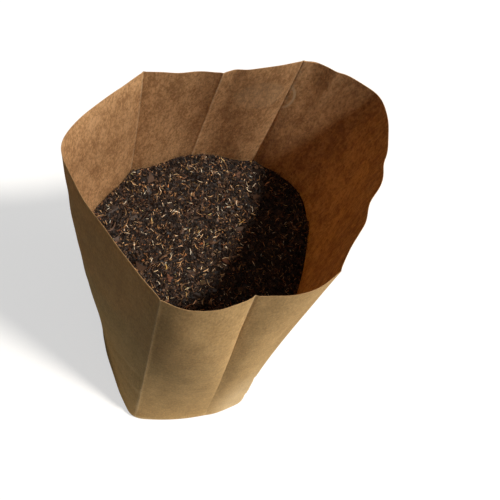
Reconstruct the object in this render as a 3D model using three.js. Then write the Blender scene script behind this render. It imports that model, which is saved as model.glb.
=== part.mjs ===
import * as THREE from 'three';

// Open kraft paper sack with folded gusset sides, filled with loose organic fertilizer.
// Millimetres, +Z up. The sack stands on z = 0, centred on its own width and depth.
// The narrow gusset sides are near (-Y) and far (+Y), the wide panels left (-X) and right (+X).

// Sizes of the flat paper and of the filling
const gussetWidth = 122;
const panelWidth = 197;
const wallLength = 400;
const paperThickness = 0.3;
const fillHeight = 270;
const fillClearance = 0.3;

// Heel: the rounded foot of the sack, below the crease that the walls stand on
const heelHeight = 20;
const heelInset = 9;
const heelShoulder = 13;

// How far each fold leans from the corner or middle of a flat rectangular tube, at heel and rim
const heelLean = {
  nearLeft: [-5, 10.5],
  nearFold: [11, 5],
  nearRight: [-6, 2.5],
  farRight: [-3, 1.5],
  farFold: [2, 6],
  farLeft: [-1, 6],
};
const rimLean = {
  nearLeft: [-11.5, 15.5],
  nearFold: [-15.5, 7.5],
  nearRight: [-18, 13],
  farRight: [2.5, -25],
  farFold: [3, -28.5],
  farLeft: [9.5, -22.5],
};

// Bow of each half gusset, outward from a straight line between its folds
const heelBow = { nearLeft: 1, nearRight: 1, farRight: 1, farLeft: 1 };
const rimBow = { nearLeft: 9, nearRight: 6, farRight: 0.5, farLeft: 0.5 };

// Bend of each wide panel at the rim: how far its apex stands out, where it is, how sharp it is
const leftBend = { reach: 65, along: 29, sharpness: 4.6 };
const rightBend = { reach: 91, along: 37, sharpness: 1.6 };

// How far the walls shift between heel and rim at each fold and bend, off a straight wall
const wallShift = {
  nearLeft: [0, 0],
  nearFold: [0, 0],
  nearRight: [-4, 0],
  rightBend: [0, 0],
  farRight: [-2.5, -7],
  farFold: [1, 6.5],
  farLeft: [3, -6],
  leftBend: [-5, 3],
};

// How far the heel swells out past its crease at each fold and bend
const heelSwell = {
  nearLeft: 6,
  nearFold: 14,
  nearRight: 5,
  rightBend: 3,
  farRight: 3,
  farFold: 6,
  farLeft: 3,
  leftBend: 5,
};

// Unevenness of the fertilizer's surface
const bedRipple = 1.5;
const bedRippleLength = 70;

// Fineness of the meshes
const gussetSteps = 6;
const panelSteps = 20;
const heelSteps = 5;
const filledRows = 8;
const emptyRows = 6;
const bedRings = 6;

const plan = (x, y) => new THREE.Vector2(x, y);

// A wide panel seen in plan: a conic from one fold to the next, pulled towards an apex
class PanelBend extends THREE.Curve {
  constructor(start, apex, end, sharpness) {
    super();
    Object.assign(this, { start, apex, end, sharpness });
  }

  getPoint(t, target = new THREE.Vector2()) {
    const a = (1 - t) * (1 - t);
    const b = 2 * this.sharpness * t * (1 - t);
    const c = t * t;
    target.copy(this.start).multiplyScalar(a);
    target.addScaledVector(this.apex, b).addScaledVector(this.end, c);
    return target.divideScalar(a + b + c);
  }
}

// Outward normal of a stretch that runs anticlockwise round the sack
function outward(start, end) {
  return plan(end.y - start.y, start.x - end.x).normalize();
}

// A half gusset in plan, bowed outward by a given amount
function bowedSide(start, end, bow) {
  const control = start.clone().lerp(end, 0.5).addScaledVector(outward(start, end), 2 * bow);
  return new THREE.QuadraticBezierCurve(start, control, end);
}

// A wide panel at the heel: an arc of the paper's full width between its two folds. A shallow
// arc is longer than its chord by eight thirds of its rise squared over the chord.
function arcSide(start, end) {
  const chord = start.distanceTo(end);
  const rise = Math.sqrt(3 * chord * (panelWidth - chord) / 8);
  const halfAngle = 2 * Math.atan(2 * rise / chord);
  const apex = start.clone().lerp(end, 0.5);
  apex.addScaledVector(outward(start, end), Math.tan(halfAngle) * chord / 2);
  return new PanelBend(start, apex, end, Math.cos(halfAngle));
}

// The folds of the sack at one level, from the flat tube's corners and their lean
function foldPoints(lean) {
  const x = gussetWidth / 2;
  const y = panelWidth / 2;
  return {
    nearLeft: plan(-x + lean.nearLeft[0], -y + lean.nearLeft[1]),
    nearFold: plan(lean.nearFold[0], -y + lean.nearFold[1]),
    nearRight: plan(x + lean.nearRight[0], -y + lean.nearRight[1]),
    farRight: plan(x + lean.farRight[0], y + lean.farRight[1]),
    farFold: plan(lean.farFold[0], y + lean.farFold[1]),
    farLeft: plan(-x + lean.farLeft[0], y + lean.farLeft[1]),
  };
}

// The six stretches of an outline, anticlockwise from the near left fold
function outlineSides(folds, bow, rightPanel, leftPanel) {
  return [
    bowedSide(folds.nearLeft, folds.nearFold, bow.nearLeft),
    bowedSide(folds.nearFold, folds.nearRight, bow.nearRight),
    rightPanel,
    bowedSide(folds.farRight, folds.farFold, bow.farRight),
    bowedSide(folds.farFold, folds.farLeft, bow.farLeft),
    leftPanel,
  ];
}

function heelSides() {
  const folds = foldPoints(heelLean);
  const rightPanel = arcSide(folds.nearRight, folds.farRight);
  const leftPanel = arcSide(folds.farLeft, folds.nearLeft);
  return outlineSides(folds, heelBow, rightPanel, leftPanel);
}

function rimSides() {
  const folds = foldPoints(rimLean);
  const rightApex = plan(gussetWidth / 2 + rightBend.reach, rightBend.along);
  const leftApex = plan(-gussetWidth / 2 - leftBend.reach, leftBend.along);
  const rightPanel = new PanelBend(folds.nearRight, rightApex, folds.farRight, rightBend.sharpness);
  const leftPanel = new PanelBend(folds.farLeft, leftApex, folds.nearLeft, leftBend.sharpness);
  return outlineSides(folds, rimBow, rightPanel, leftPanel);
}

const sideSteps = [gussetSteps, gussetSteps, panelSteps, gussetSteps, gussetSteps, panelSteps];
const sideMarks = [
  ['nearLeft', 'nearFold'],
  ['nearFold', 'nearRight'],
  ['nearRight', 'rightBend', 'farRight'],
  ['farRight', 'farFold'],
  ['farFold', 'farLeft'],
  ['farLeft', 'leftBend', 'nearLeft'],
];

// The marks on either side of a fraction of one side, and the eased way between them
function marksAt(side, u) {
  const marks = sideMarks[side];
  const place = u * (marks.length - 1);
  const index = Math.min(Math.floor(place), marks.length - 2);
  return [marks[index], marks[index + 1], THREE.MathUtils.smoothstep(place - index, 0, 1)];
}

// Stations round the sack: each is one straight fibre of the paper, from the heel to the rim
function makeStations() {
  const heel = heelSides();
  const rim = rimSides();
  const stations = [];
  sideSteps.forEach((steps, side) => {
    for (let i = 0; i < steps; i += 1) {
      const u = i / steps;
      const foot = heel[side].getPointAt(u);
      const top = rim[side].getPointAt(u);
      const rise = Math.sqrt(wallLength ** 2 - foot.distanceToSquared(top));
      const [before, after, way] = marksAt(side, u);
      stations.push({
        foot,
        top,
        rimHeight: heelHeight + rise,
        shift: plan(...wallShift[before]).lerp(plan(...wallShift[after]), way),
        heelSwell: THREE.MathUtils.lerp(heelSwell[before], heelSwell[after], way),
      });
    }
  });
  return stations;
}

// Offset that keeps a line at distance one from both of two neighbouring stretches
function mitre(normalBefore, normalAfter) {
  const sum = normalBefore.clone().add(normalAfter);
  return sum.divideScalar(1 + normalBefore.dot(normalAfter));
}

// Inset of a closed ring of plan points, positive inward, by an amount for each point
function insetRing(ring, amounts) {
  return ring.map((point, i) => {
    const before = ring[(i + ring.length - 1) % ring.length];
    const after = ring[(i + 1) % ring.length];
    const offset = mitre(outward(before, point), outward(point, after));
    return point.clone().addScaledVector(offset, -amounts[i]);
  });
}

// A cubic curve reaches out three quarters as far as its two handles
const handlePerSwell = 4 / 3;

// Section of the heel at one station, as reach past the crease and height: out over its
// shoulder, down, and under to the floor. The inset one keeps its distance all the way.
function heelSection(station, inset) {
  const handle = station.heelSwell * handlePerSwell;
  const roll = new THREE.CubicBezierCurve(
    plan(0, heelHeight),
    plan(handle, heelShoulder),
    plan(handle, 0),
    plan(-heelInset, 0),
  );
  const points = roll.getPoints(heelSteps);
  const slopes = points.slice(1).map((point, i) => outward(point, points[i]));
  const normals = [plan(1, 0), ...slopes, plan(0, -1)];
  return points.map((point, i) => {
    return point.clone().addScaledVector(mitre(normals[i], normals[i + 1]), -inset);
  });
}

const stations = makeStations();
const footRing = stations.map((station) => station.foot);

// Rows of the heel, from the floor up to the crease
function heelRows(inset) {
  const sections = stations.map((station) => heelSection(station, inset));
  const rows = [];
  for (let k = heelSteps; k >= 0; k -= 1) {
    const ring = insetRing(footRing, sections.map((section) => -section[k].x));
    rows.push(ring.map((point, i) => new THREE.Vector3(point.x, point.y, sections[i][k].y)));
  }
  return rows;
}

// One row of the wall, at a height worked out for each station
function wallRow(heightOf, inset) {
  const ring = stations.map((station) => {
    const share = (heightOf(station) - heelHeight) / (station.rimHeight - heelHeight);
    const point = station.foot.clone().lerp(station.top, share);
    return point.addScaledVector(station.shift, 4 * share * (1 - share));
  });
  return insetRing(ring, ring.map(() => inset)).map((point, i) => {
    return new THREE.Vector3(point.x, point.y, heightOf(stations[i]));
  });
}

// Rows of the wall from above the crease to the fertilizer's edge
function filledWallRows(inset) {
  const rows = [];
  for (let k = 1; k <= filledRows; k += 1) {
    const height = THREE.MathUtils.lerp(heelHeight, fillHeight, k / filledRows);
    rows.push(wallRow(() => height, inset));
  }
  return rows;
}

// Rows of the wall from above the fertilizer to the rim
function emptyWallRows(inset) {
  const rows = [];
  for (let k = 1; k <= emptyRows; k += 1) {
    rows.push(wallRow((s) => THREE.MathUtils.lerp(fillHeight, s.rimHeight, k / emptyRows), inset));
  }
  return rows;
}

// Closed surface through a stack of rings, with a middle point at each end. From the turned
// row on, the stack runs back down, and its diagonals stay in line with those outside it.
function closedStack(rows, firstMiddle, lastMiddle, turnedRow = rows.length) {
  const count = rows[0].length;
  const points = [firstMiddle, ...rows.flat(), lastMiddle];
  const last = points.length - 1;
  const index = [];
  for (let i = 0; i < count; i += 1) {
    const j = (i + 1) % count;
    index.push(0, 1 + j, 1 + i);
    for (let row = 0; row < rows.length - 1; row += 1) {
      const low = 1 + row * count;
      const high = low + count;
      if (row < turnedRow) index.push(low + i, low + j, high + j, low + i, high + j, high + i);
      else index.push(low + i, low + j, high + i, low + j, high + j, high + i);
    }
    const top = 1 + (rows.length - 1) * count;
    index.push(last, top + i, top + j);
  }
  const geometry = new THREE.BufferGeometry();
  geometry.setFromPoints(points);
  geometry.setIndex(index);
  geometry.computeVertexNormals();
  return geometry;
}

function ringMiddle(row) {
  const middle = new THREE.Vector3();
  row.forEach((point) => middle.add(point));
  return middle.divideScalar(row.length);
}

// The sack: one folded sheet, up the outside, over the cut rim and down the inside
function sackGeometry() {
  const outside = [...heelRows(0), ...filledWallRows(0), ...emptyWallRows(0)];
  const inset = paperThickness;
  const inside = [...heelRows(inset), ...filledWallRows(inset), ...emptyWallRows(inset)];
  inside.reverse();
  const rows = [...outside, ...inside];
  return closedStack(rows, ringMiddle(rows[0]), ringMiddle(rows.at(-1)), outside.length);
}

// Height of the fertilizer's uneven surface
function bedHeight(x, y) {
  const turn = 2 * Math.PI / bedRippleLength;
  return fillHeight + bedRipple * Math.sin(turn * x) * Math.cos(turn * y);
}

// The fertilizer: one loose mass that fills the sack to the bed's height
function fertilizerGeometry() {
  const inset = paperThickness + fillClearance;
  const sides = [...heelRows(inset), ...filledWallRows(inset)];
  const edge = sides.at(-1);
  const middle = ringMiddle(edge);
  for (let ring = bedRings - 1; ring > 0; ring -= 1) {
    const share = ring / bedRings;
    sides.push(edge.map((point) => {
      const x = THREE.MathUtils.lerp(middle.x, point.x, share);
      const y = THREE.MathUtils.lerp(middle.y, point.y, share);
      return new THREE.Vector3(x, y, bedHeight(x, y));
    }));
  }
  const top = new THREE.Vector3(middle.x, middle.y, bedHeight(middle.x, middle.y));
  return closedStack(sides, ringMiddle(sides[0]), top);
}

const kraftPaper = new THREE.MeshStandardMaterial({ color: 0xa88458, roughness: 0.85, metalness: 0 });
const darkCompost = new THREE.MeshStandardMaterial({ color: 0x2e211b, roughness: 1, metalness: 0 });

function namedMesh(name, geometry, material) {
  const mesh = new THREE.Mesh(geometry, material);
  mesh.name = name;
  return mesh;
}

const paperBag = namedMesh('paper_bag', sackGeometry(), kraftPaper);
const fertilizer = namedMesh('fertilizer', fertilizerGeometry(), darkCompost);

const filledBag = new THREE.Group();
filledBag.add(paperBag, fertilizer);

// Centre the sack's width and depth on the origin
const extent = new THREE.Box3().setFromObject(paperBag);
const centre = extent.getCenter(new THREE.Vector3());
filledBag.position.set(-centre.x, -centre.y, 0);

export default filledBag;
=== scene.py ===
import math

import bmesh
import bpy
import numpy as np
from mathutils import Matrix, Vector


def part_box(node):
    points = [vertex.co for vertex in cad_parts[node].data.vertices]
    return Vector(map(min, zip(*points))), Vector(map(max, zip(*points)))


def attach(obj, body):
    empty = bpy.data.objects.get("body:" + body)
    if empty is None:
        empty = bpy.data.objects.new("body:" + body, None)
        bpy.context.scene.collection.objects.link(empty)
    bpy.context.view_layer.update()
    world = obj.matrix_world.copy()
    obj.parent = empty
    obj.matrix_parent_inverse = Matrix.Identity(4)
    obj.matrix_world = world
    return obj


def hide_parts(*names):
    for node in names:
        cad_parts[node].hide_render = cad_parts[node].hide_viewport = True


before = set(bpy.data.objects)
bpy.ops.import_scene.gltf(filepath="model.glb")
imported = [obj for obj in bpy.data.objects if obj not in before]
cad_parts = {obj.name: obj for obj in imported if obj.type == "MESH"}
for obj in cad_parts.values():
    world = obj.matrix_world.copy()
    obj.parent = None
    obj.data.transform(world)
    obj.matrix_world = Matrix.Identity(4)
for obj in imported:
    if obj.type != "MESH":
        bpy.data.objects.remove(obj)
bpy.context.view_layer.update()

# The paper is worked out in millimetres, as in the CAD model, and every mesh is made in metres
MM = 0.001

# Sizes of the flat paper and of the filling
GUSSET_WIDTH = 122
PANEL_WIDTH = 197
WALL_LENGTH = 400
PAPER = 0.3
FILL_HEIGHT = 270
FILL_CLEARANCE = 0.3
BED_RIPPLE = 1.5
BED_RIPPLE_LENGTH = 70

# The rounded heel below the crease: its height, the inset of its foot, its shoulder's height
HEEL_HEIGHT = 20
HEEL_INSET = 9
HEEL_SHOULDER = 13

# Arch of the underside, which is full at this share of the way out from its middle
BASE_ARCH = 1.4
BASE_ARCH_FULL = 0.85

# Lean of each fold from the corner or middle of a flat rectangular tube, at heel and rim
HEEL_LEAN = {
    "near_left": (-5, 10.5),
    "near_fold": (11, 5),
    "near_right": (-6, 2.5),
    "far_right": (-3, 1.5),
    "far_fold": (2, 6),
    "far_left": (-1, 6),
}
RIM_LEAN = {
    "near_left": (-11.5, 15.5),
    "near_fold": (-15.5, 7.5),
    "near_right": (-18, 13),
    "far_right": (2.5, -25),
    "far_fold": (3, -28.5),
    "far_left": (9.5, -22.5),
}

# Outward bow of each half gusset, in the order of the sides
HEEL_BOW = (1, 1, 1, 1)
RIM_BOW = (9, 6, 0.5, 0.5)

# Bend of each wide panel at the rim: reach, place along the panel, sharpness
LEFT_BEND = (65, 29, 4.6)
RIGHT_BEND = (91, 37, 1.6)

# Shift of the walls between heel and rim, and swell of the heel, at each fold and bend
WALL_SHIFT = {
    "near_left": (0, 0),
    "near_fold": (0, 0),
    "near_right": (-4, 0),
    "right_bend": (0, 0),
    "far_right": (-2.5, -7),
    "far_fold": (1, 6.5),
    "far_left": (3, -6),
    "left_bend": (-5, 3),
}
HEEL_SWELL = {
    "near_left": 7.5,
    "near_fold": 9,
    "near_right": 7,
    "right_bend": 4,
    "far_right": 3,
    "far_fold": 6,
    "far_left": 3,
    "left_bend": 5,
}

# How far the crease over the heel is rounded away, from sharp at 0 to none at 1
HEEL_SOFTNESS = {
    "near_left": 0.9,
    "near_fold": 0.8,
    "near_right": 0.8,
    "right_bend": 0.4,
    "far_right": 0.3,
    "far_fold": 0.3,
    "far_left": 0.3,
    "left_bend": 0.45,
}

# A soft heel carries the wall out with it, by a share of its swell that fades up the wall. Its
# shoulder stands a little past the wall, and a little lower than a sharp one.
HEEL_STAND = 0.92
HEEL_FADE = 66
SOFT_SHOULDER = 1
SHOULDER_DROP = 2

# Near the floor the folds open into round corners, which fade out up the wall
CORNER_ROUND = 4
CORNER_FADE = 50

# A cubic curve reaches three quarters as far as its two middle handles
HANDLE_REACH = 4 / 3

# The sides, anticlockwise from the near left fold, by the folds and bends that they join
SIDES = (
    ("near_left", "near_fold"),
    ("near_fold", "near_right"),
    ("near_right", "right_bend", "far_right"),
    ("far_right", "far_fold"),
    ("far_fold", "far_left"),
    ("far_left", "left_bend", "near_left"),
)
HALF_GUSSET = GUSSET_WIDTH / 2
SIDE_WIDTHS = (HALF_GUSSET, HALF_GUSSET, PANEL_WIDTH, HALF_GUSSET, HALF_GUSSET, PANEL_WIDTH)
SIDE_STARTS = np.append(0, np.cumsum(SIDE_WIDTHS))
PERIMETER = SIDE_STARTS[-1]
FAR_RIGHT_FOLD = SIDE_STARTS[3]

# The ridge along a fold points inward within this reach of a gusset's middle
GUSSET_MIDDLES = SIDE_STARTS[[1, 4]]
INWARD_REACH = 20

# Fineness of the meshes, and their closest rows and columns beside the rim and each fold
GUSSET_STEPS = 38
PANEL_STEPS = 96
BASE_STEPS = 8
HEEL_STEPS = 20
FILLED_STEPS = 56
EMPTY_STEPS = 40
RIM_EDGE = 0.2
FOLD_EDGE = 0.4
BED_STEPS = 70
CURVE_STEPS = 400


# Curves and unevenness

def smooth(low, high, x):
    """0 below low, 1 above high, and eased between them."""
    t = np.clip((x - low) / (high - low), 0, 1)
    return t * t * (3 - 2 * t)


def hump(distance, width):
    """1 at no distance, and falling smoothly away over the width."""
    return np.exp(-((distance / width) ** 2))


# Single waves turn slower or faster than the wavelength says, within these shares
WAVE_SPREAD = (0.7, 1.4)


def waves(points, wavelength, seed, count=20):
    """Smooth unevenness of about unit height over points, the same on every run."""
    rng = np.random.default_rng(seed)
    turns = rng.normal(size=(count, points.shape[-1]))
    turns /= np.linalg.norm(turns, axis=1, keepdims=True)
    turns *= 2 * math.pi / wavelength * rng.uniform(*WAVE_SPREAD, (count, 1))
    phases = rng.uniform(0, 2 * math.pi, count)
    return np.sin(points @ turns.T + phases).sum(axis=-1) * math.sqrt(2 / count)


def wave_layers(points, layers):
    """Unevenness in layers, each with its height, wavelength and seed."""
    return sum(height * waves(points, wavelength, seed) for height, wavelength, seed in layers)


def outward(start, end):
    """Unit normal in plan of a stretch that runs anticlockwise round the sack."""
    along = end - start
    normal = np.stack([along[..., 1], -along[..., 0]], axis=-1)
    return normal / np.linalg.norm(normal, axis=-1, keepdims=True)


def mitred(before, after):
    """The offset one unit outside both of two stretches, from their unit normals."""
    return (before + after) / (1 + (before * after).sum(axis=-1, keepdims=True))


def offset_ring(ring, amounts):
    """A closed ring moved outward by an amount at each point."""
    before = outward(np.roll(ring, 1, axis=0), ring)
    after = outward(ring, np.roll(ring, -1, axis=0))
    return ring + mitred(before, after) * np.reshape(amounts, (-1, 1))


def conic_points(conic, shares):
    """Points at shares of the length of a conic: start, apex, end and sharpness."""
    start, apex, end, sharpness = conic

    def at(t):
        t = t[:, None]
        a, b, c = (1 - t) ** 2, 2 * sharpness * t * (1 - t), t**2
        return (a * start + b * apex + c * end) / (a + b + c)

    steps = np.linspace(0, 1, CURVE_STEPS + 1)
    lengths = np.append(0, np.cumsum(np.linalg.norm(np.diff(at(steps), axis=0), axis=1)))
    return at(np.interp(shares, lengths / lengths[-1], steps))


# Shape of the sack

def fold_points(lean):
    """The folds in plan at one level, from the flat tube's corners and their lean."""
    x, y = HALF_GUSSET, PANEL_WIDTH / 2
    flat = {
        "near_left": (-x, -y),
        "near_fold": (0, -y),
        "near_right": (x, -y),
        "far_right": (x, y),
        "far_fold": (0, y),
        "far_left": (-x, y),
    }
    return {name: np.add(corner, lean[name], dtype=float) for name, corner in flat.items()}


def bowed(start, end, bow):
    """A half gusset in plan, bowed outward."""
    return start, (start + end) / 2 + outward(start, end) * 2 * bow, end, 1


def arched(start, end):
    """A wide panel at the heel: a shallow arc of the paper's width between its folds."""
    chord = np.linalg.norm(end - start)
    rise = math.sqrt(3 * chord * (PANEL_WIDTH - chord) / 8)
    half_angle = 2 * math.atan(2 * rise / chord)
    apex = (start + end) / 2 + outward(start, end) * math.tan(half_angle) * chord / 2
    return start, apex, end, math.cos(half_angle)


def bent(start, end, bend, facing):
    """A wide panel at the rim, pulled towards the apex of its bend."""
    reach, along, sharpness = bend
    return start, np.array([facing * (HALF_GUSSET + reach), along]), end, sharpness


def outline(lean, bows, right_panel, left_panel):
    """The conics of the six sides at one level, with the panels as functions of their folds."""
    folds = fold_points(lean)
    ends = [(folds[side[0]], folds[side[-1]]) for side in SIDES]
    return [
        bowed(*ends[0], bows[0]),
        bowed(*ends[1], bows[1]),
        right_panel(*ends[2]),
        bowed(*ends[3], bows[2]),
        bowed(*ends[4], bows[3]),
        left_panel(*ends[5]),
    ]


def fold_spacing(steps, width):
    """Shares of a side's width, closer together beside its folds, where one is closest."""
    even = np.arange(1, steps) / steps
    eased = (even + (1 - np.cos(math.pi * even)) / 2) / 2
    return np.concatenate([[0, FOLD_EDGE / width], eased, [1 - FOLD_EDGE / width]])


def between_marks(values, marks, shares):
    """Values at shares of a side, eased from one of its marks to the next."""
    place = shares * (len(marks) - 1)
    index = np.minimum(place.astype(int), len(marks) - 2)
    known = np.array([np.atleast_1d(values[mark]) for mark in marks], float)
    way = smooth(0, 1, place - index)[:, None]
    return known[index] * (1 - way) + known[index + 1] * way


def make_stations():
    """Straight fibres of the paper round the sack, each from its foot at the heel to the rim."""
    heel = outline(HEEL_LEAN, HEEL_BOW, arched, arched)
    rim = outline(
        RIM_LEAN,
        RIM_BOW,
        lambda start, end: bent(start, end, RIGHT_BEND, 1),
        lambda start, end: bent(start, end, LEFT_BEND, -1),
    )
    names = ("foot", "top", "shift", "swell", "softness", "across", "fold", "inward")
    found = {name: [] for name in names}
    for side, marks in enumerate(SIDES):
        width = SIDE_WIDTHS[side]
        shares = fold_spacing(PANEL_STEPS if width == PANEL_WIDTH else GUSSET_STEPS, width)
        found["foot"].append(conic_points(heel[side], shares))
        found["top"].append(conic_points(rim[side], shares))
        found["shift"].append(between_marks(WALL_SHIFT, marks, shares))
        found["swell"].append(between_marks(HEEL_SWELL, marks, shares)[:, 0])
        found["softness"].append(between_marks(HEEL_SOFTNESS, marks, shares)[:, 0])
        across = SIDE_STARTS[side] + shares * width
        found["across"].append(across)
        found["fold"].append(np.minimum(shares, 1 - shares) * width)
        from_middle = np.abs(across - GUSSET_MIDDLES[:, None]).min(axis=0)
        found["inward"].append(from_middle < INWARD_REACH)
    return {name: np.concatenate(parts) for name, parts in found.items()}


stations = make_stations()
COLUMNS = len(stations["across"])
spread = np.linalg.norm(stations["top"] - stations["foot"], axis=1)
rim_rise = np.sqrt(WALL_LENGTH**2 - spread**2)

# How far a soft heel carries the wall out at the crease
heel_stand = stations["softness"] * stations["swell"] * HEEL_STAND

# Shares of the points near each point, by which a round corner averages them
column_apart = np.abs(stations["across"][:, None] - stations["across"])
column_apart = np.minimum(column_apart, PERIMETER - column_apart)
column_share = hump(column_apart, CORNER_ROUND) * np.gradient(stations["across"])
column_share /= column_share.sum(axis=1, keepdims=True)

# The two lobes of the near gusset bulge between heel and rim: height up the paper, and stand
LOBE_UP = (0, 60, 120, 200, 300, 350, WALL_LENGTH)
LEFT_LOBE = (0, 0, 0.5, 2.8, 5.5, 3.8, 0)
RIGHT_LOBE = (0, 0, 0, 0.2, 1.4, 1.4, 0)
NEAR_ARCH = (6, 9, 9.5, 6.5, 2.2, 0.5, 0)

# These tables are averaged this far up and down, which eases their corners
LOBE_EASE = 45
EASE_STEPS = 8

# The left lobe leans towards the fold by a power, and is divided by its tallest value
LOBE_LEAN = 4
LOBE_PEAK = 0.535

# Soft folds in the paper: start and end as places across and up it, outward stand, width
SOFT_FOLDS = (
    ((2, 199), (36, 183), -0.3, 6),
    ((36, 183), (58, 190), -0.15, 5),
    ((575, 84), (634, 160), -1.6, 7),
    ((558, 30), (630, 92), -1.3, 7),
    ((590, 60), (636, 120), 0.8, 5),
    ((596, 20), (634, 48), 0.8, 6),
    ((61, 17), (101, 33), 0.55, 2.6),
    ((59, 37), (98, 40), 0.3, 3.0),
    ((101, 33), (121, 26), 0.5, 2.6),
    ((58, -4), (74, 2), -0.6, 1.8),
    ((64, -2), (82, 9), -0.7, 1.8),
    ((82, 1), (97, -5), 0.5, 1.6),
    ((92, -4), (108, 3), -0.8, 1.8),
    ((100, 14), (118, 8), 0.5, 1.8),
    ((78, 12), (94, 6), 0.5, 1.8),
    ((104, -6), (119, -1), -0.6, 1.6),
    ((40, 2), (64, -3), -0.5, 1.8),
    ((8, 4), (30, -4), 0.4, 2.0),
    ((2, 30), (22, 8), 0.5, 4),
    ((160, 60), (128, 96), -0.9, 9),
    ((236, 396), (210, 300), 0.8, 14),
    ((420, 20), (445, 60), -0.8, 6),
    ((330, 14), (372, 40), 0.7, 5),
    ((180, 18), (262, 30), -0.6, 6),
    ((480, 26), (540, 14), -0.6, 6),
)


def segment_distance(points, start, end):
    """Distance from points to the segment from start to end."""
    start, along = np.array(start, float), np.subtract(end, start, dtype=float)
    share = np.clip((points - start) @ along / (along @ along), 0, 1)
    return np.linalg.norm(points - start - share[..., None] * along, axis=-1)


# Flutes below the rim: place across the paper, outward stand at the rim, width
RIM_FLUTES = (
    (137, -2.0, 12),
    (160, 0.8, 7),
    (174, -1.4, 8),
    (192, 1.1, 9),
    (207, -1.2, 6),
    (232, -1.0, 10),
    (262, 1.6, 10),
    (295, -1.3, 5),
    (311, 1.7, 6),
    (370, 1.2, 6),
    (415, -1.9, 13),
)
FLUTE_LENGTH = 80

# Unevenness of the walls: height, wavelength and seed of each layer, and a squeeze up the paper.
# It is quiet beside the folds, and fades out down the heel.
WALL_WAVES = ((0.5, 80, 11), (0.12, 27, 12))
WALL_SQUEEZE = (1, 0.4)
RIM_WAVES = ((0.2, 44, 13),)
RIM_SQUEEZE = (1, 0.35)
RIM_WAVES_START = 290
FOLD_QUIET = 16
RELIEF_START = -22

# Ridge along each sharp fold, which sets in above the heel
FOLD_PINCH = 0.35
PINCH_WIDTH = 1.2
PINCH_START = 20
PINCH_FULL = 140


def eased_table(up, values):
    """Values of a table over LOBE_UP at the heights up, with its corners eased."""
    reach = np.clip(WALL_LENGTH - up, 0, LOBE_EASE)
    steps = np.linspace(-1, 1, EASE_STEPS + 1)
    return np.mean([np.interp(up + reach * step, LOBE_UP, values) for step in steps], axis=0)


def lobes(up):
    """Stand of the near gusset's two lobes, and of the one arch that they join in lower down."""
    share = np.clip(stations["across"] / HALF_GUSSET, 0, 2)
    left = np.clip(share, 0, 1)
    left = left * (1 - left**LOBE_LEAN) / LOBE_PEAK
    right = np.sin(math.pi * np.clip(share - 1, 0, 1))
    arch = np.sin(math.pi * share / 2)
    stands = ((left, LEFT_LOBE), (right, RIGHT_LOBE), (arch, NEAR_ARCH))
    return sum(shape * eased_table(up, stand) for shape, stand in stands)


def relief(up):
    """How far the paper stands out from its smooth shape at one level of each station."""
    paper = np.stack([stations["across"], up], axis=-1)
    free = smooth(0, FOLD_QUIET, stations["fold"])
    rim = smooth(RIM_WAVES_START, WALL_LENGTH, up)
    stands = free * wave_layers(paper * WALL_SQUEEZE, WALL_WAVES)
    stands += free * rim * wave_layers(paper * RIM_SQUEEZE, RIM_WAVES)
    flute = smooth(WALL_LENGTH - FLUTE_LENGTH, WALL_LENGTH, up)
    for across, stand, width in RIM_FLUTES:
        stands += stand * flute * hump(stations["across"] - across, width)
    for start, end, stand, width in SOFT_FOLDS:
        stands += stand * hump(segment_distance(paper, start, end), width)
    stands *= smooth(RELIEF_START, 0, up)
    pinch = FOLD_PINCH * hump(stations["fold"], PINCH_WIDTH) * smooth(PINCH_START, PINCH_FULL, up)
    pinch *= np.where(stations["inward"], -1, 1)
    wall = heel_stand * np.exp(-np.maximum(up, 0) / HEEL_FADE) * (up >= 0)
    return stands + lobes(up) + pinch + wall


def heel_sections(inset):
    """The heel's section at each station, as reach past the crease and height."""
    softness = stations["softness"]
    foot = stations["swell"] * HANDLE_REACH
    shoulder = foot + softness * (heel_stand + SOFT_SHOULDER - foot)
    still = np.zeros(COLUMNS)
    handles = (
        (heel_stand, still + HEEL_HEIGHT),
        (shoulder, HEEL_SHOULDER - SHOULDER_DROP * softness),
        (foot, still),
        (still - HEEL_INSET, still),
    )
    t = np.linspace(0, 1, HEEL_STEPS + 1)[:, None]
    weights = ((1 - t) ** 3, 3 * (1 - t) ** 2 * t, 3 * (1 - t) * t**2, t**3)
    pulls = [np.stack(handle, axis=-1)[:, None] for handle in handles]
    points = sum(weight * pull for weight, pull in zip(weights, pulls))
    slopes = outward(points[:, 1:], points[:, :-1])
    level = np.broadcast_to((1.0, 0.0), (COLUMNS, 1, 2))
    down = np.broadcast_to((0.0, -1.0), (COLUMNS, 1, 2))
    normals = np.concatenate([level, slopes, down], axis=1)
    return points - mitred(normals[:, :-1], normals[:, 1:]) * inset


def stand_up(ring, heights):
    """A ring in plan with its heights, as points in space."""
    return np.column_stack([ring, np.broadcast_to(heights, COLUMNS)])


def rounded(ring, up):
    """The ring with its corners rounded, which fades out above the crease."""
    share = 1 - smooth(0, CORNER_FADE, up)
    return ring + (column_share @ ring - ring) * share[:, None]


def heel_rows(inset):
    """Rows of the heel from the floor up to the crease, each with its places up the paper."""
    sections = heel_sections(inset)
    rows = []
    for step in range(HEEL_STEPS, -1, -1):
        up = np.full(COLUMNS, -HEEL_HEIGHT * step / HEEL_STEPS)
        stand = relief(up) - (heel_stand if step == 0 else 0)
        ring = offset_ring(stations["foot"], sections[:, step, 0] + stand)
        rows.append((stand_up(rounded(ring, up), sections[:, step, 1]), up))
    return rows


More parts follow.
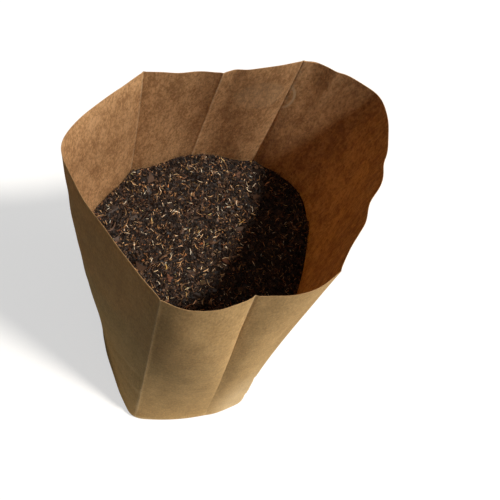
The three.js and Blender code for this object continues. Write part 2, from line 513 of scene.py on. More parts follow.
def wall_row(heights, inset):
    """One row of the wall at a height for each station, with its places up the paper."""
    share = (np.broadcast_to(heights, COLUMNS) - HEEL_HEIGHT) / rim_rise
    way = share[:, None]
    ring = stations["foot"] * (1 - way) + stations["top"] * way
    ring = ring + stations["shift"] * 4 * way * (1 - way)
    up = share * WALL_LENGTH
    return stand_up(rounded(offset_ring(ring, relief(up) - inset), up), heights), up


def wall_rows(inset, first, last, steps):
    """Rows of the wall above first and up to last, two heights for each station."""
    levels = [first + (last - first) * step / steps for step in range(1, steps + 1)]
    return [wall_row(level, inset) for level in levels]


def filled_rows(inset):
    """Rows of the wall beside the filling."""
    return wall_rows(inset, HEEL_HEIGHT, FILL_HEIGHT, FILLED_STEPS)


def empty_rows(inset):
    """Rows of the wall above the filling, with one close below the rim to keep its edge sharp."""
    rim = HEEL_HEIGHT + rim_rise
    rows = wall_rows(inset, FILL_HEIGHT, rim - RIM_EDGE, EMPTY_STEPS)
    return rows + [wall_row(rim, inset)]


def shrinking_rows(edge, shares, height_of):
    """Rings at shares of the way from an edge ring's middle out to it, at heights by place."""
    middle = edge[:, :2].mean(axis=0)
    rows = []
    for share in shares:
        ring = middle + (edge[:, :2] - middle) * share
        rows.append((stand_up(ring, height_of(ring)), np.full(COLUMNS, -HEEL_HEIGHT)))
    return rows


def base_rows(edge, inset):
    """The underside, arched a little off the floor inside its edge."""
    rows = []
    for share in (np.arange(BASE_STEPS) + 0.5) / BASE_STEPS:
        height = inset + BASE_ARCH * smooth(1, BASE_ARCH_FULL, share)
        rows += shrinking_rows(edge, [share], lambda ring: height)
    return rows


def sack_shift():
    """The move that centres the width and depth of the paper, as the part's frame does."""
    low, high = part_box("paper_bag")
    ring = np.vstack([row for row, up in filled_rows(0) + empty_rows(0) + heel_rows(0)])
    middle = (ring.min(axis=0) + ring.max(axis=0)) / 2
    target = (low + high) / 2 / MM
    return np.array([target.x - middle[0], target.y - middle[1], 0])


SHIFT = sack_shift()


# Meshes

def make_object(name, points, face_sets, material, smooth_shading=True):
    """A mesh object from points in millimetres and arrays of faces, each of one corner count."""
    mesh = bpy.data.meshes.new(name)
    corners = np.concatenate([faces.ravel() for faces in face_sets])
    counts = np.concatenate([np.full(len(faces), faces.shape[1]) for faces in face_sets])
    mesh.vertices.add(len(points))
    mesh.vertices.foreach_set("co", (points * MM).astype(np.float32).ravel())
    mesh.loops.add(len(corners))
    mesh.loops.foreach_set("vertex_index", corners.astype(np.int32))
    mesh.polygons.add(len(counts))
    starts = np.append(0, np.cumsum(counts)[:-1])
    mesh.polygons.foreach_set("loop_start", starts.astype(np.int32))
    mesh.polygons.foreach_set("use_smooth", np.full(len(counts), smooth_shading))
    mesh.update(calc_edges=True)
    mesh.materials.append(material)
    made = bpy.data.objects.new(name, mesh)
    bpy.context.scene.collection.objects.link(made)
    return made


def point_values(made, name, values):
    """A number for each vertex, which the materials read by name."""
    attribute = made.data.attributes.new(name, "FLOAT", "POINT")
    attribute.data.foreach_set("value", np.asarray(values, np.float32))


def tube_faces(row_count):
    """Quads of a closed tube, as the row and the column of each corner."""
    row, column = np.divmod(np.arange((row_count - 1) * COLUMNS), COLUMNS)
    rows = np.stack([row, row, row + 1, row + 1], axis=1)
    columns = np.stack([column, column + 1, column + 1, column], axis=1)
    return rows, columns


def closed_tube(name, rows, first_middle, last_middle, material):
    """A closed body through a stack of rows, with a map of the flat paper on its corners."""
    points = np.vstack([first_middle[None], *(row for row, up in rows), last_middle[None]]) + SHIFT
    ups = np.array([up for row, up in rows])
    face_rows, face_columns = tube_faces(len(rows))
    quads = 1 + face_rows * COLUMNS + face_columns % COLUMNS
    here = np.arange(COLUMNS)
    ahead = (here + 1) % COLUMNS
    top = 1 + (len(rows) - 1) * COLUMNS
    first_fan = np.stack([np.zeros(COLUMNS, int), 1 + ahead, 1 + here], axis=1)
    last_fan = np.stack([np.full(COLUMNS, len(points) - 1), top + here, top + ahead], axis=1)
    made = make_object(name, points, [quads, first_fan, last_fan], material)
    across = np.append(stations["across"], PERIMETER)
    wall = np.stack([across[face_columns], ups[face_rows, face_columns % COLUMNS]], axis=-1)
    level = (ups[face_rows] <= -HEEL_HEIGHT).all(axis=(1, 2))
    wall[level] = points[quads[level]][..., :2] - (0, PERIMETER)
    fans = points[np.concatenate([first_fan, last_fan])][..., :2] - (0, PERIMETER)
    flat = np.concatenate([wall.reshape(-1, 2), fans.reshape(-1, 2)]) * MM
    made.data.uv_layers.new(name="paper").data.foreach_set("uv", flat.astype(np.float32).ravel())
    return made


# Node trees of the materials

def srgb(red, green, blue):
    """A colour from its screen values, 0 to 255."""
    shares = [channel / 255 for channel in (red, green, blue)]
    linear = [s / 12.92 if s <= 0.04045 else ((s + 0.055) / 1.055) ** 2.4 for s in shares]
    return (*linear, 1)


class Tree:
    """A material whose nodes are made and joined by short calls."""

    def __init__(self, name):
        self.material = bpy.data.materials.new(name)
        self.material.use_nodes = True
        self.nodes = self.material.node_tree.nodes
        self.links = self.material.node_tree.links
        self.nodes.clear()

    def node(self, kind, inputs=None, **settings):
        made = self.nodes.new("ShaderNode" + kind)
        for name, value in settings.items():
            setattr(made, name, value)
        for name, value in (inputs or {}).items():
            if isinstance(value, bpy.types.NodeSocket):
                self.links.new(value, made.inputs[name])
            else:
                made.inputs[name].default_value = value
        return made

    def math(self, operation, a, b=0.0, c=0.0):
        return self.node("Math", {0: a, 1: b, 2: c}, operation=operation).outputs[0]

    def scaled(self, vector, factors):
        inputs = {0: vector, 1: factors}
        return self.node("VectorMath", inputs, operation="MULTIPLY").outputs[0]

    def noise(self, vector, size, detail, roughness, distortion=0.0):
        inputs = {
            "Vector": vector,
            "Scale": 1 / size,
            "Detail": detail,
            "Roughness": roughness,
            "Distortion": distortion,
        }
        return self.node("TexNoise", inputs).outputs[0]

    def layer(self, place, size, squeeze, *settings):
        """Noise over the flat paper, drawn out up the paper where squeeze is below 1."""
        return self.noise(self.scaled(place, (1, squeeze, 1)), size, *settings)

    def eased(self, value, low, high):
        """0 where value is low, 1 where it is high, and eased between them."""
        inputs = {"Value": value, "From Min": low, "From Max": high}
        return self.node("MapRange", inputs, interpolation_type="SMOOTHSTEP").outputs[0]

    def mix(self, factor, a, b, blend="MIX"):
        inputs = {0: factor, 6: a, 7: b}
        return self.node("Mix", inputs, data_type="RGBA", blend_type=blend).outputs[2]

    def ramp(self, factor, stops):
        made = self.node("ValToRGB", {0: factor})
        elements = made.color_ramp.elements
        for place, colour in stops[1:-1]:
            elements.new(place).color = colour
        elements[0].position, elements[0].color = stops[0]
        elements[-1].position, elements[-1].color = stops[-1]
        return made.outputs[0]

    def bump(self, height, distance, strength=1.0, normal=None):
        inputs = {"Height": height, "Distance": distance, "Strength": strength}
        if normal is not None:
            inputs["Normal"] = normal
        return self.node("Bump", inputs).outputs[0]

    def distance(self, vector, centre, radii):
        """Distance from centre, in radii that differ across and up."""
        inputs = {0: vector, 1: (*centre, 0)}
        apart = self.node("VectorMath", inputs, operation="SUBTRACT").outputs[0]
        shares = self.scaled(apart, (1 / radii[0], 1 / radii[1], 0))
        return self.node("VectorMath", {0: shares}, operation="LENGTH").outputs["Value"]

    def attribute(self, name):
        return self.node("Attribute", attribute_name=name).outputs["Fac"]

    def finish(self, shader):
        self.node("OutputMaterial", {"Surface": shader.outputs[0]})
        return self.material


# Kraft paper. Each side multiplies the sheet's tones by its own tint, and the glow colours the
# light that the sheet lets through.
KRAFT_DEEP = srgb(170, 132, 90)
KRAFT_MID = srgb(200, 161, 115)
KRAFT_PALE = srgb(226, 190, 143)
# Palest colour: glue, wear and painted highlight along the folds, painted highlight on the lap's
# cut edge, painted light on the near side's foot, a paler heel corner
KRAFT_WEAR_AND_HIGHLIGHT = srgb(244, 218, 176)
KRAFT_OUTSIDE = (1.07, 1.13, 1.05, 1)
KRAFT_INSIDE = (1.12, 1.03, 1.0, 1)
KRAFT_GLOW = (0.8, 0.47, 0.03, 1)
KRAFT_GLOW_DEEP = (0.44, 0.19, 0.012, 1)
KRAFT_DUST = srgb(70, 48, 32)
KRAFT_TONES = [(0.1, KRAFT_DEEP), (0.5, KRAFT_MID), (0.9, KRAFT_PALE)]
GLOW_TONES = [(0.2, KRAFT_GLOW_DEEP), (0.8, KRAFT_GLOW)]
LET_THROUGH = 0.28

# Layers of noise on the paper: size, squeeze up the paper, detail, roughness, distortion
FIBRES = (0.9, 0.3, 3.0, 0.6, 0.6)
FLECKS = (1.9, 0.42, 5.0, 0.72, 0.4)
CLOUDS = (11.0, 0.45, 5.0, 0.62)
PATCHES = (60.0, 0.5, 3.0, 0.5)
COCKLES = (16.0, 0.4, 3.0, 0.5)
STREAKS = (1.3, 0.12, 4.0, 0.7)
FOLD_LINE_SPOTS = (3.5, 1, 4.0, 0.7)
DUST_GRAINS = (1.3, 1, 2.0, 0.6)

# Shares of the fibres, flecks, clouds and patches in the tone, and its contrast on each side
TONE_SHARES = (0.5, 1.5, 0.8, 0.4)
CONTRAST_OUTSIDE = 0.8
CONTRAST_INSIDE = 1.7
STREAK_SHARE = 1.4

# Heights of the bumps
FIBRE_BUMP = 0.07 * MM
FLECK_BUMP = 0.14 * MM
COCKLE_BUMP = 0.7 * MM

# The noise on the inside is taken this far from the noise on the outside
INSIDE_APART = 90.0

# Marks on the paper, by centre and radii across and up it
# The foot mark is painted light: the outside of the near side's right lobe grows paler down
# towards its foot. The corner mark is a paler patch at the near left of the heel.
PAINTED_LIGHT_FOOT = ((104, -2), (52, 220))
PALE_HEEL_CORNER = ((4, -13), (24, 13))
GLUE_SMEAR = ((343, 360), (21, 20))
GLUE_RING = ((322, 355), (9, 15))
SPECKS = ((200, 320), (192, 301), (187, 291))
SPECK_RADII = (1, 1)

# How strongly each mark covers the paper
FOLD_COVER = 0.75
SMEAR_COVER = 0.18
RING_COVER = 0.6
DUST_COVER = 0.7

# Where each mark starts and where it is full, in its noise or in shares of its radii
FOLD_LINE_EDGES = (0.32, 0.62)
FOOT_EDGES = (1.0, 0.0)
CORNER_EDGES = (1.0, 0.5)
SMEAR_EDGES = (1.1, 0.8)
RING_EDGES = (0.16, 0.04)
SPECK_EDGES = (1.3, 0.6)
GRAIN_EDGES = (0.5, 0.66)

# Where the dust starts and where it is full, in height up the paper
DUST_EDGES = (FILL_HEIGHT + 8, FILL_HEIGHT - 22)


def kraft_tone(tree, place, inner, fibres, flecks):
    """Tone of the plain sheet, about 0.5."""
    layers = (fibres, flecks, tree.layer(place, *CLOUDS), tree.layer(place, *PATCHES))
    tone = 0.0
    for layer, share in zip(layers, TONE_SHARES):
        centred = tree.math("SUBTRACT", layer, 0.5)
        tone = tree.math("MULTIPLY_ADD", centred, share, tone)
    added = CONTRAST_INSIDE - CONTRAST_OUTSIDE
    contrast = tree.math("MULTIPLY_ADD", inner, added, CONTRAST_OUTSIDE)
    return tree.math("MULTIPLY_ADD", tone, contrast, 0.5)


def wear_and_painted_light(tree, colour, place, flat, inner, flecks):
    """Wear and painted highlight along the folds, in spots; painted light on the near side's foot;
    a paler heel corner.
    """
    spots = tree.eased(tree.layer(place, *FOLD_LINE_SPOTS), *FOLD_LINE_EDGES)
    # The pale lines along the folds are partly wear and partly a painted highlight
    fold_wear_and_highlight = tree.math("MULTIPLY", tree.attribute("fold"), spots)
    colour = tree.mix(tree.math("MULTIPLY", fold_wear_and_highlight, FOLD_COVER), colour, KRAFT_WEAR_AND_HIGHLIGHT)
    # Painted light: the outside of the near side paler towards its foot; and a paler patch at the
    # heel's near left corner
    foot = tree.eased(tree.distance(flat, *PAINTED_LIGHT_FOOT), *FOOT_EDGES)
    corner = tree.eased(tree.distance(flat, *PALE_HEEL_CORNER), *CORNER_EDGES)
    painted_light_and_pale_corner = tree.math("MAXIMUM", foot, corner)
    painted_light_and_pale_corner = tree.math("MULTIPLY", painted_light_and_pale_corner, tree.math("SUBTRACT", 1.0, inner))
    painted_light_and_pale_corner = tree.math("MULTIPLY", painted_light_and_pale_corner, tree.math("MULTIPLY_ADD", flecks, 0.8, 0.35))
    return tree.mix(painted_light_and_pale_corner, colour, KRAFT_WEAR_AND_HIGHLIGHT)


def marked_paper(tree, colour, flat, across, inner):
    """A smear and part of a ring of dried glue, and a few specks, on the inside."""
    smear = tree.eased(tree.distance(flat, *GLUE_SMEAR), *SMEAR_EDGES)
    ring = tree.math("SUBTRACT", tree.distance(flat, *GLUE_RING), 1.0)
    ring = tree.eased(tree.math("ABSOLUTE", ring), *RING_EDGES)
    right_of_fold = tree.eased(across, FAR_RIGHT_FOLD + 1, FAR_RIGHT_FOLD)
    ring = tree.math("MULTIPLY", ring, right_of_fold)
    smear = tree.math("MULTIPLY", smear, SMEAR_COVER)
    glue = tree.math("MAXIMUM", smear, tree.math("MULTIPLY", ring, RING_COVER))
    colour = tree.mix(tree.math("MULTIPLY", glue, inner), colour, KRAFT_WEAR_AND_HIGHLIGHT)
    for centre in SPECKS:
        speck = tree.eased(tree.distance(flat, centre, SPECK_RADII), *SPECK_EDGES)
        colour = tree.mix(tree.math("MULTIPLY", speck, inner), colour, KRAFT_DUST)
    return colour


def dusty_paper(tree, colour, place, up, inner):
    """Dust of the filling on the inside, thickest where the bed meets the wall."""
    low = tree.eased(up, *DUST_EDGES)
    grains = tree.eased(tree.layer(place, *DUST_GRAINS), *GRAIN_EDGES)
    dust = tree.math("MULTIPLY", tree.math("MULTIPLY", low, grains), inner)
    return tree.mix(tree.math("MULTIPLY", dust, DUST_COVER), colour, KRAFT_DUST)


def kraft_paper():
    tree = Tree("kraft_paper")
    flat = tree.scaled(tree.node("UVMap", uv_map="paper").outputs[0], (1 / MM, 1 / MM, 1 / MM))
    inner = tree.attribute("inner")
    apart = tree.node("CombineXYZ", {2: tree.math("MULTIPLY", inner, INSIDE_APART)}).outputs[0]
    place = tree.node("VectorMath", {0: flat, 1: apart}, operation="ADD").outputs[0]
    parts = tree.node("SeparateXYZ", {0: flat})
    fibres = tree.layer(place, *FIBRES)
    flecks = tree.layer(place, *FLECKS)

    tone = kraft_tone(tree, place, inner, fibres, flecks)
    tint = tree.mix(inner, KRAFT_OUTSIDE, KRAFT_INSIDE)
    colour = tree.mix(1.0, tree.ramp(tone, KRAFT_TONES), tint, "MULTIPLY")
    colour = wear_and_painted_light(tree, colour, place, flat, inner, flecks)
    colour = marked_paper(tree, colour, flat, parts.outputs[0], inner)
    colour = dusty_paper(tree, colour, place, parts.outputs[1], inner)

    # Light through the sheet shows its fibres as streaks up the paper
    streaks = tree.layer(place, *STREAKS)
    streaks = tree.math("MULTIPLY_ADD", streaks, STREAK_SHARE, -STREAK_SHARE / 2)
    glow = tree.ramp(tree.math("ADD", tone, streaks), GLOW_TONES)

    bump = tree.bump(fibres, FIBRE_BUMP, 0.8)
    bump = tree.bump(flecks, FLECK_BUMP, 0.8, bump)
    bump = tree.bump(tree.layer(place, *COCKLES), COCKLE_BUMP, 0.7, bump)
    paper = tree.node(
        "BsdfPrincipled",
        {
            "Base Color": colour,
            "Roughness": tree.math("MULTIPLY_ADD", flecks, 0.25, 0.68),
            "Specular IOR Level": 0.3,
            "Normal": bump,
        },
    )
    through = tree.node("BsdfTranslucent", {"Color": glow, "Normal": bump})
    both = {0: LET_THROUGH, 1: paper.outputs[0], 2: through.outputs[0]}
    return tree.finish(tree.node("MixShader", both))


# Fertilizer: tones from the blackest crumbs to the palest straw, and tints of single pieces
CHIP_TONES = [
    (0.0, srgb(16, 11, 9)),
    (0.32, srgb(42, 29, 22)),
    (0.55, srgb(82, 59, 43)),
    (0.7, srgb(132, 96, 66)),
    (0.82, srgb(196, 140, 88)),
    (0.93, srgb(232, 186, 128)),
    (1.0, srgb(250, 232, 200)),
]
CHIP_TINTS = [
    (0.0, (1.25, 0.8, 0.6, 1)),
    (0.14, (1, 1, 1, 1)),
    (0.72, (1, 1, 1, 1)),
    (0.84, (0.85, 1.0, 1.2, 1)),
    (0.92, (1, 1, 1, 1)),
    (1.0, (0.98, 1.1, 0.55, 1)),
]
BED_TONES = [(0.0, srgb(12, 8, 6)), (0.6, srgb(34, 23, 17)), (1.0, srgb(70, 48, 35))]
CHIP_GRAIN = 0.6 * MM
CHIP_BUMP = 0.2 * MM
BED_GRAIN = 1.1 * MM
BED_BUMP = 1.2 * MM


def compost_chips():
    tree = Tree("compost_chips")
    place = tree.node("TexCoord").outputs["Object"]
    grain = tree.noise(place, CHIP_GRAIN, 3.0, 0.6)
    shade = tree.math("MULTIPLY_ADD", grain, 0.3, -0.15)
    tone = tree.math("ADD", tree.attribute("tone"), shade)
    tint = tree.ramp(tree.attribute("tint"), CHIP_TINTS)
    chip = tree.node(
        "BsdfPrincipled",
        {
            "Base Color": tree.mix(1.0, tree.ramp(tone, CHIP_TONES), tint, "MULTIPLY"),
            "Roughness": tree.math("MULTIPLY_ADD", grain, 0.4, 0.36),
            "Specular IOR Level": 0.42,
            "Normal": tree.bump(grain, CHIP_BUMP),
        },
    )
    return tree.finish(chip)


def compost_bed():
    tree = Tree("compost_bed")
    place = tree.node("TexCoord").outputs["Object"]
    grain = tree.noise(place, BED_GRAIN, 5.0, 0.7)
    soil = tree.node(
        "BsdfPrincipled",
        {
            "Base Color": tree.ramp(tree.eased(grain, 0.35, 0.7), BED_TONES),
            "Roughness": 0.95,
            "Specular IOR Level": 0.2,
            "Normal": tree.bump(grain, BED_BUMP),
        },
    )
    return tree.finish(soil)


# The sack, with widths of the wear and painted highlight along its folds, of the pale line along
# its crease and of the painted highlight along the cut edge of its lap
FOLD_WEAR_AND_HIGHLIGHT_WIDTH = 0.55
CREASE_LINE_WIDTH = 1.2
CUT_EDGE_AND_HIGHLIGHT_WIDTH = 1.5


def make_sack(material):
    outside = heel_rows(0) + filled_rows(0) + empty_rows(0)
    inside = heel_rows(PAPER) + filled_rows(PAPER) + empty_rows(PAPER)
    outside = base_rows(outside[0][0], 0) + outside
    inside = base_rows(inside[0][0], PAPER) + inside
    rows = outside + inside[::-1]
    first, last = outside[0][0].mean(axis=0), inside[0][0].mean(axis=0)
    sack = closed_tube("kraft_sack", rows, first, last, material)
    inner = np.repeat([0, 1], [1 + len(outside) * COLUMNS, 1 + len(inside) * COLUMNS])
    point_values(sack, "inner", inner)
    ups = np.concatenate([up for row, up in rows])
    # Pale lines along the folds, partly wear and partly painted highlight, and a pale line along
    # the sharp heel crease
    near_fold = np.tile(hump(stations["fold"], FOLD_WEAR_AND_HIGHLIGHT_WIDTH), len(rows))
    crease = hump(ups, CREASE_LINE_WIDTH) * np.tile(1 - stations["softness"], len(rows))
    point_values(sack, "fold", np.hstack([0, np.maximum(near_fold, crease), 0]))
    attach(sack, "root")
    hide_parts("paper_bag")


# The lap ends a gap short of the fold and the rim, and starts a depth below the bed. Its two
# faces are set in from the outside of the paper.
LAP_WIDTH = 11
LAP_GAP = 0.4
LAP_DEPTH = 8
LAP_INSETS = (PAPER + 0.02, PAPER + 0.28)


def lap_face(found, inset):
    """One face of the lap: its points in rows from the foot, and their places up the paper."""
    foot = FILL_HEIGHT - LAP_DEPTH
    rise = HEEL_HEIGHT + rim_rise - LAP_GAP - foot
    shares = np.arange(EMPTY_STEPS + 1) / EMPTY_STEPS
    rows = [wall_row(foot + rise * share, inset) for share in shares]
    return np.array([row[found] for row, up in rows]), np.array([up[found] for row, up in rows])


def sheet_faces(grid):
    """Quads of a thin closed sheet, from the grid of its front's vertex numbers."""
    corners = (grid[:-1, :-1], grid[:-1, 1:], grid[1:, 1:], grid[1:, :-1])
    front = np.stack(corners, axis=-1).reshape(-1, 4)
    back = front[:, ::-1] + grid.size
    border = np.concatenate([grid[0, :-1], grid[:-1, -1], grid[-1, :0:-1], grid[:0:-1, 0]])
    ahead = np.roll(border, -1)
    edges = np.stack([border, border + grid.size, ahead + grid.size, ahead], axis=1)
    return np.concatenate([front, back, edges])


def make_lap(material):
    """The glued lap: the end of the sheet, inside the right panel along the far right fold."""
    across = stations["across"]
    found = (across >= FAR_RIGHT_FOLD - LAP_WIDTH) & (across <= FAR_RIGHT_FOLD - LAP_GAP)
    faces = [lap_face(found, inset) for inset in LAP_INSETS]
    points = np.concatenate([face.reshape(-1, 3) for face, ups in faces]) + SHIFT
    ups = faces[0][1]
    quads = sheet_faces(np.arange(ups.size).reshape(ups.shape))
    lap = make_object("lap_strip", points, [quads], material, False)
    flat = np.stack([np.broadcast_to(across[found], ups.shape), ups], axis=-1).reshape(-1, 2)
    flat = np.concatenate([flat, flat])
    uvs = flat[quads.ravel()] * MM
    lap.data.uv_layers.new(name="paper").data.foreach_set("uv", uvs.astype(np.float32).ravel())
    point_values(lap, "inner", np.ones(len(points)))
    # Along the lap's edge beside the far right fold: partly the pale cut edge of the paper, partly
    # a painted highlight
    point_values(lap, "fold", hump(flat[:, 0] - FAR_RIGHT_FOLD, CUT_EDGE_AND_HIGHLIGHT_WIDTH))
    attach(lap, "root")


# The bed of fertilizer, with its lumps as heights, wavelengths and seeds
BED_LUMPS = ((1.0, 34, 31), (0.5, 12, 32), (0.35, 5, 33))


def bed_height(places):
    """Height of the bed over plan places, in the sack's own millimetres."""
    turn = 2 * math.pi / BED_RIPPLE_LENGTH
    ripple = BED_RIPPLE * np.sin(turn * places[:, 0]) * np.cos(turn * places[:, 1])
    return FILL_HEIGHT + ripple + wave_layers(places, BED_LUMPS)


def make_bed(material):
    inset = PAPER + FILL_CLEARANCE
    sides = heel_rows(inset) + filled_rows(inset)
    edge = sides[-1][0]
    shares = 1 - np.arange(1, BED_STEPS) / BED_STEPS
    top = shrinking_rows(edge, shares, bed_height)
    rows = sides + top
    first, last = sides[0][0].mean(axis=0), top[-1][0].mean(axis=0)
    bed = closed_tube("compost_bed", rows, first, last, material)
    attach(bed, "root")
    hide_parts("fertilizer")


# Loose crumbs and chips on the bed

def crumb_shape():
    """A rounded lump of twenty facets, one unit across its radius."""
    lump = bmesh.new()
    bmesh.ops.create_icosphere(lump, subdivisions=1, radius=1)
    points = np.array([v.co[:] for v in lump.verts])
    faces = np.array([[v.index for v in face.verts] for face in lump.faces])
    lump.free()
    return points, faces


def bar_shape(shares, radii, sides):
    """A bar along X from -1 to 1, with a radius of its own at each share of its length."""
    angles = 2 * math.pi * np.arange(sides) / sides
    circle = np.column_stack([np.zeros(sides), np.cos(angles), np.sin(angles)])
    rings = [circle * radius + (2 * share - 1, 0, 0) for share, radius in zip(shares, radii)]
    faces = []
    for ring in range(len(shares) - 1):
        for i in range(sides):
            j = (i + 1) % sides
            low, high = ring * sides, (ring + 1) * sides
            faces += [(low + i, high + j, high + i), (low + i, low + j, high + j)]
    last = (len(shares) - 1) * sides
    for i in range(1, sides - 1):
        faces += [(0, i + 1, i), (last, last + i, last + i + 1)]
    return np.vstack(rings), np.array(faces)


def plate_shape(sides):
    """A flat plate of unit radius and half thickness."""
    points, faces = bar_shape((0, 1), (1, 1), sides)
    return points[:, [1, 2, 0]], faces


def axis_turns(angles, axis):
    """Rotations by an array of angles about one axis, from 0 for X to 2 for Z."""
    ahead, behind = (axis + 1) % 3, (axis + 2) % 3
    turns = np.tile(np.eye(3), (len(angles), 1, 1))
    turns[:, ahead, ahead] = np.cos(angles)
    turns[:, behind, behind] = np.cos(angles)
    turns[:, ahead, behind] = -np.sin(angles)
    turns[:, behind, ahead] = np.sin(angles)
    return turns


# Pieces stay this far inside the paper. Their middles keep a margin and a share of their half
# length from it, and those along the edge lie in a band beside that.
PAPER_CLEARANCE = 0.5
PIECE_MARGIN = 0.6
LENGTH_MARGIN = 0.75
EDGE_BAND = 1.5

# Power that makes large pieces rarer
LARGE_RARITY = 1.6

bed_row = wall_row(FILL_HEIGHT, PAPER)[0]
bed_middle = bed_row[:, :2].mean(axis=0)
bed_arms = bed_row[:, :2] - bed_middle


def plan_angles(arms):
    return np.arctan2(arms[..., 1], arms[..., 0])


def bed_reach(angles):
    """How far the bed reaches from its middle at each angle."""
    lengths = np.linalg.norm(bed_arms, axis=1)
    return np.interp(angles, plan_angles(bed_arms), lengths, period=2 * math.pi)


def bed_places(rng, margins):
    """Even random places over the bed, each at least its margin from the paper."""
    places = np.zeros((len(margins), 2))
    left = np.arange(len(margins))
    while len(left):
        places[left] = rng.uniform(bed_arms.min(axis=0), bed_arms.max(axis=0), (len(left), 2))
        reach = bed_reach(plan_angles(places[left]))
        left = left[np.linalg.norm(places[left], axis=1) > reach - margins[left]]
    return bed_middle + places


def edge_places(rng, margins):
    """Random places along the paper, each its margin or a little more away from it."""
    angles = rng.uniform(-math.pi, math.pi, len(margins))
    reach = bed_reach(angles) - margins - EDGE_BAND * rng.uniform(0, 1, len(margins)) ** 2
    return bed_middle + np.column_stack([np.cos(angles), np.sin(angles)]) * reach[:, None]


def clear_of_paper(spots):
    """Which pieces, by their points, stay inside the paper."""
    arms = spots[..., :2] - SHIFT[:2] - bed_middle
    reach = bed_reach(plan_angles(arms))
    return (np.linalg.norm(arms, axis=-1) < reach - PAPER_CLEARANCE).all(axis=1)


def scatter(
    name, shape, material, count, seed, halves, tones, heights, tilt,
    bend=0.0, rough=0.25, places_for=bed_places,
):
    """Loose pieces over the bed.

    Halves are the ranges of half length, half width and half height. Tones are a low and a high
    value, and a power that makes the high ones rarer. Heights are a range over the bed.
    """
    rng = np.random.default_rng(seed)
    points, faces = shape
    largeness = rng.uniform(0, 1, (count, 1)) ** LARGE_RARITY
    sizes = [low + (high - low) * largeness for low, high in halves]
    places = places_for(rng, PIECE_MARGIN + LENGTH_MARGIN * sizes[0][:, 0])
    local = points[None] * np.stack(sizes, axis=-1)
    local = local * rng.uniform(1 - rough, 1 + rough, (count, len(points), 3))
    curl = rng.uniform(-bend, bend, (count, 1, 2)) / sizes[0][:, :, None]
    local[..., 1:] += curl * local[..., :1] ** 2
    yaw = rng.uniform(0, 2 * math.pi, count)
    pitch, roll = rng.normal(0, tilt, (2, count))
    rotation = axis_turns(yaw, 2) @ axis_turns(pitch, 1) @ axis_turns(roll, 0)
    lifted = bed_height(places) + rng.uniform(*heights, count)
    centres = np.column_stack([places, lifted]) + SHIFT
    spots = np.einsum("nij,nvj->nvi", rotation, local) + centres[:, None]
    tone = tones[0] + (tones[1] - tones[0]) * rng.uniform(0, 1, count) ** tones[2]
    tint = rng.uniform(0, 1, count)
    kept = clear_of_paper(spots)
    spots, tone, tint = spots[kept], tone[kept], tint[kept]
    numbers = faces[None] + (np.arange(len(spots)) * len(points))[:, None, None]
    made = make_object(name, spots.reshape(-1, 3), [numbers.reshape(-1, 3)], material, False)
    point_values(made, "tone", np.repeat(tone, len(points)))
    point_values(made, "tint", np.repeat(tint, len(points)))
    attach(made, "root")


# Ranges of half length, width and height of the fine crumbs, on the bed and along its edge
FINE_HALVES = ((0.35, 1.1), (0.3, 0.8), (0.3, 0.8))


def make_chips(material):
    lump = crumb_shape()
    sliver = bar_shape((0, 0.5, 1), (0.5, 1, 0.6), 4)
    thread = bar_shape(np.linspace(0, 1, 7), (0.5, 0.9, 1, 1, 0.9, 0.8, 0.4), 3)
    branch = bar_shape(np.linspace(0, 1, 9), (0.8, 1, 0.9, 1.1, 0.95, 1, 0.85, 0.9, 0.6), 7)
    flake = plate_shape(6)
    scatter(
        "crumbs_fine", lump, material, count=9800, seed=41,
        halves=FINE_HALVES, tones=(0.0, 0.8, 2.5),
        heights=(-0.3, 1.2), tilt=0.7,
    )
    scatter(
        "crumbs_coarse", lump, material, count=5200, seed=42,
        halves=((0.6, 1.6), (0.45, 1.15), (0.35, 0.9)), tones=(0.0, 0.6, 2.2),
        heights=(-0.7, 0.6), tilt=0.5,
    )
    scatter(
        "crumbs_edge", lump, material, count=2600, seed=47,
        halves=FINE_HALVES, tones=(0.05, 0.8, 1.6),
        heights=(-0.2, 2.2), tilt=0.7, places_for=edge_places,
    )
    scatter(
        "bark_flakes", flake, material, count=7000, seed=43,
        halves=((0.6, 2.0), (0.4, 1.2), (0.08, 0.2)), tones=(0.0, 0.7, 2.0),
        heights=(0.0, 1.3), tilt=0.55, bend=0.3, rough=0.35,
    )
    scatter(
        "leaf_bits", flake, material, count=60, seed=48,
        halves=((2.5, 5.0), (1.6, 3.0), (0.1, 0.2)), tones=(0.3, 0.58, 1.0),
        heights=(0.6, 1.2), tilt=0.25, bend=0.6, rough=0.3,
    )
    scatter(
        "wood_slivers", sliver, material, count=7000, seed=44,
        halves=((0.8, 3.0), (0.13, 0.36), (0.1, 0.28)), tones=(0.12, 1.08, 2.1),
        heights=(0.2, 1.6), tilt=0.45, bend=0.3,
    )
    scatter(
        "straw_threads", thread, material, count=450, seed=45,
        halves=((1.5, 5.0), (0.10, 0.2), (0.10, 0.2)), tones=(0.35, 0.9, 1.2),
        heights=(0.5, 1.7), tilt=0.3, bend=0.6, rough=0.1,
    )
    scatter(
        "twigs", branch, material, count=26, seed=46,
        halves=((4.0, 9.0), (0.5, 0.95), (0.4, 0.8)), tones=(0.3, 0.66, 1.0),
        heights=(0.7, 1.6), tilt=0.12, bend=0.9, rough=0.1,
    )


# Soft lamps: azimuth from the near side, elevation, strength, spread, colour
LAMPS = {
    "key_light": (46, 64, 3.75, 6, (1.0, 0.95, 0.87)),
    "top_light": (46, 80, 0.32, 50, (1.0, 0.98, 0.9)),
    "side_light": (70, 4, 1.7, 20, (1.0, 0.98, 0.9)),
}

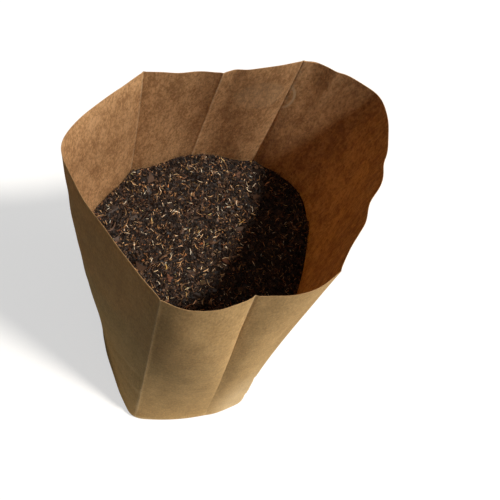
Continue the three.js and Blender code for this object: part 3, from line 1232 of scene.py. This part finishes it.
# The sky and the floor look brighter to the camera than they light the sack. Here and below,
# distances are in metres.
SKY_COLOUR = (0.93, 0.96, 1.0, 1)
SKY_STRENGTH = 0.03
SKY_SEEN = 0.93
FLOOR_HALF = 3
FLOOR_BOUNCE = (0.62, 0.58, 0.46, 1)
FLOOR_BOUNCE_FAR = (0.12, 0.12, 0.1, 1)
FLOOR_NEAR = 0.2
FLOOR_FAR = 0.55
FLOOR_SEEN = (0.4, 0.4, 0.4, 1)
FLOOR_LIFT = (0.6, 0.6, 0.6, 1)

# Camera at the photograph's viewing angle
CAMERA_PLACE = (-0.12891, -0.19625, 0.80160)
CAMERA_AZIMUTH = -40.9957
CAMERA_ELEVATION = 65.0468
CAMERA_ROLL = 28.957
CAMERA_LENS = 48.91
CAMERA_SENSOR = 36


def direction(azimuth, elevation):
    """Unit vector towards an azimuth counted from the near side, and an elevation."""
    turn, up = math.radians(azimuth), math.radians(elevation)
    level = math.cos(up)
    return Vector((math.sin(turn) * level, -math.cos(turn) * level, math.sin(up)))


def make_camera():
    back = direction(CAMERA_AZIMUTH, CAMERA_ELEVATION)
    level = Vector((0, 0, 1)).cross(back).normalized()
    turn = Matrix.Rotation(math.radians(CAMERA_ROLL), 3, "Z")
    axes = Matrix((level, back.cross(level), back)).transposed() @ turn
    data = bpy.data.cameras.new("camera")
    data.lens = CAMERA_LENS
    data.sensor_width = CAMERA_SENSOR
    camera = bpy.data.objects.new("camera", data)
    camera.matrix_world = Matrix.Translation(CAMERA_PLACE) @ axes.to_4x4()
    bpy.context.scene.collection.objects.link(camera)
    bpy.context.scene.camera = camera


def make_lamp(name, azimuth, elevation, strength, spread, colour):
    data = bpy.data.lights.new(name, "SUN")
    data.energy = strength
    data.angle = math.radians(spread)
    data.color = colour
    sun = bpy.data.objects.new(name, data)
    sun.rotation_euler = direction(azimuth, elevation).to_track_quat("Z", "Y").to_euler()
    bpy.context.scene.collection.objects.link(sun)


def make_light():
    for name, settings in LAMPS.items():
        make_lamp(name, *settings)
    world = bpy.data.worlds.new("soft_sky")
    world.use_nodes = True
    sky = world.node_tree.nodes["Background"]
    sky.inputs["Color"].default_value = SKY_COLOUR
    seen = world.node_tree.nodes.new("ShaderNodeLightPath").outputs["Is Camera Ray"]
    strength = world.node_tree.nodes.new("ShaderNodeMapRange")
    strength.inputs["To Min"].default_value = SKY_STRENGTH
    strength.inputs["To Max"].default_value = SKY_SEEN
    world.node_tree.links.new(seen, strength.inputs["Value"])
    world.node_tree.links.new(strength.outputs[0], sky.inputs["Strength"])
    bpy.context.scene.world = world
    bpy.context.scene.view_settings.view_transform = "Standard"


def make_floor():
    """A pale floor. What it sends back to the sack fades with distance, as from a white sheet."""
    tree = Tree("pale_floor")
    seen = tree.node("LightPath").outputs["Is Camera Ray"]
    place = tree.node("TexCoord").outputs["Object"]
    reach = tree.node("VectorMath", {0: place}, operation="LENGTH").outputs["Value"]
    bounce = tree.mix(tree.eased(reach, FLOOR_NEAR, FLOOR_FAR), FLOOR_BOUNCE, FLOOR_BOUNCE_FAR)
    grey = tree.mix(seen, bounce, FLOOR_SEEN)
    matt = tree.node("BsdfDiffuse", {"Color": grey})
    lift = tree.node("Emission", {"Color": FLOOR_LIFT, "Strength": seen})
    both = tree.node("AddShader", {0: matt.outputs[0], 1: lift.outputs[0]})
    corners = np.array([(-1, -1, 0), (1, -1, 0), (1, 1, 0), (-1, 1, 0)]) * FLOOR_HALF / MM
    floor = make_object("floor", corners, [np.array([[0, 1, 2, 3]])], tree.finish(both))


make_camera()
make_light()
make_floor()
kraft = kraft_paper()
make_sack(kraft)
make_lap(kraft)
make_bed(compost_bed())
make_chips(compost_chips())
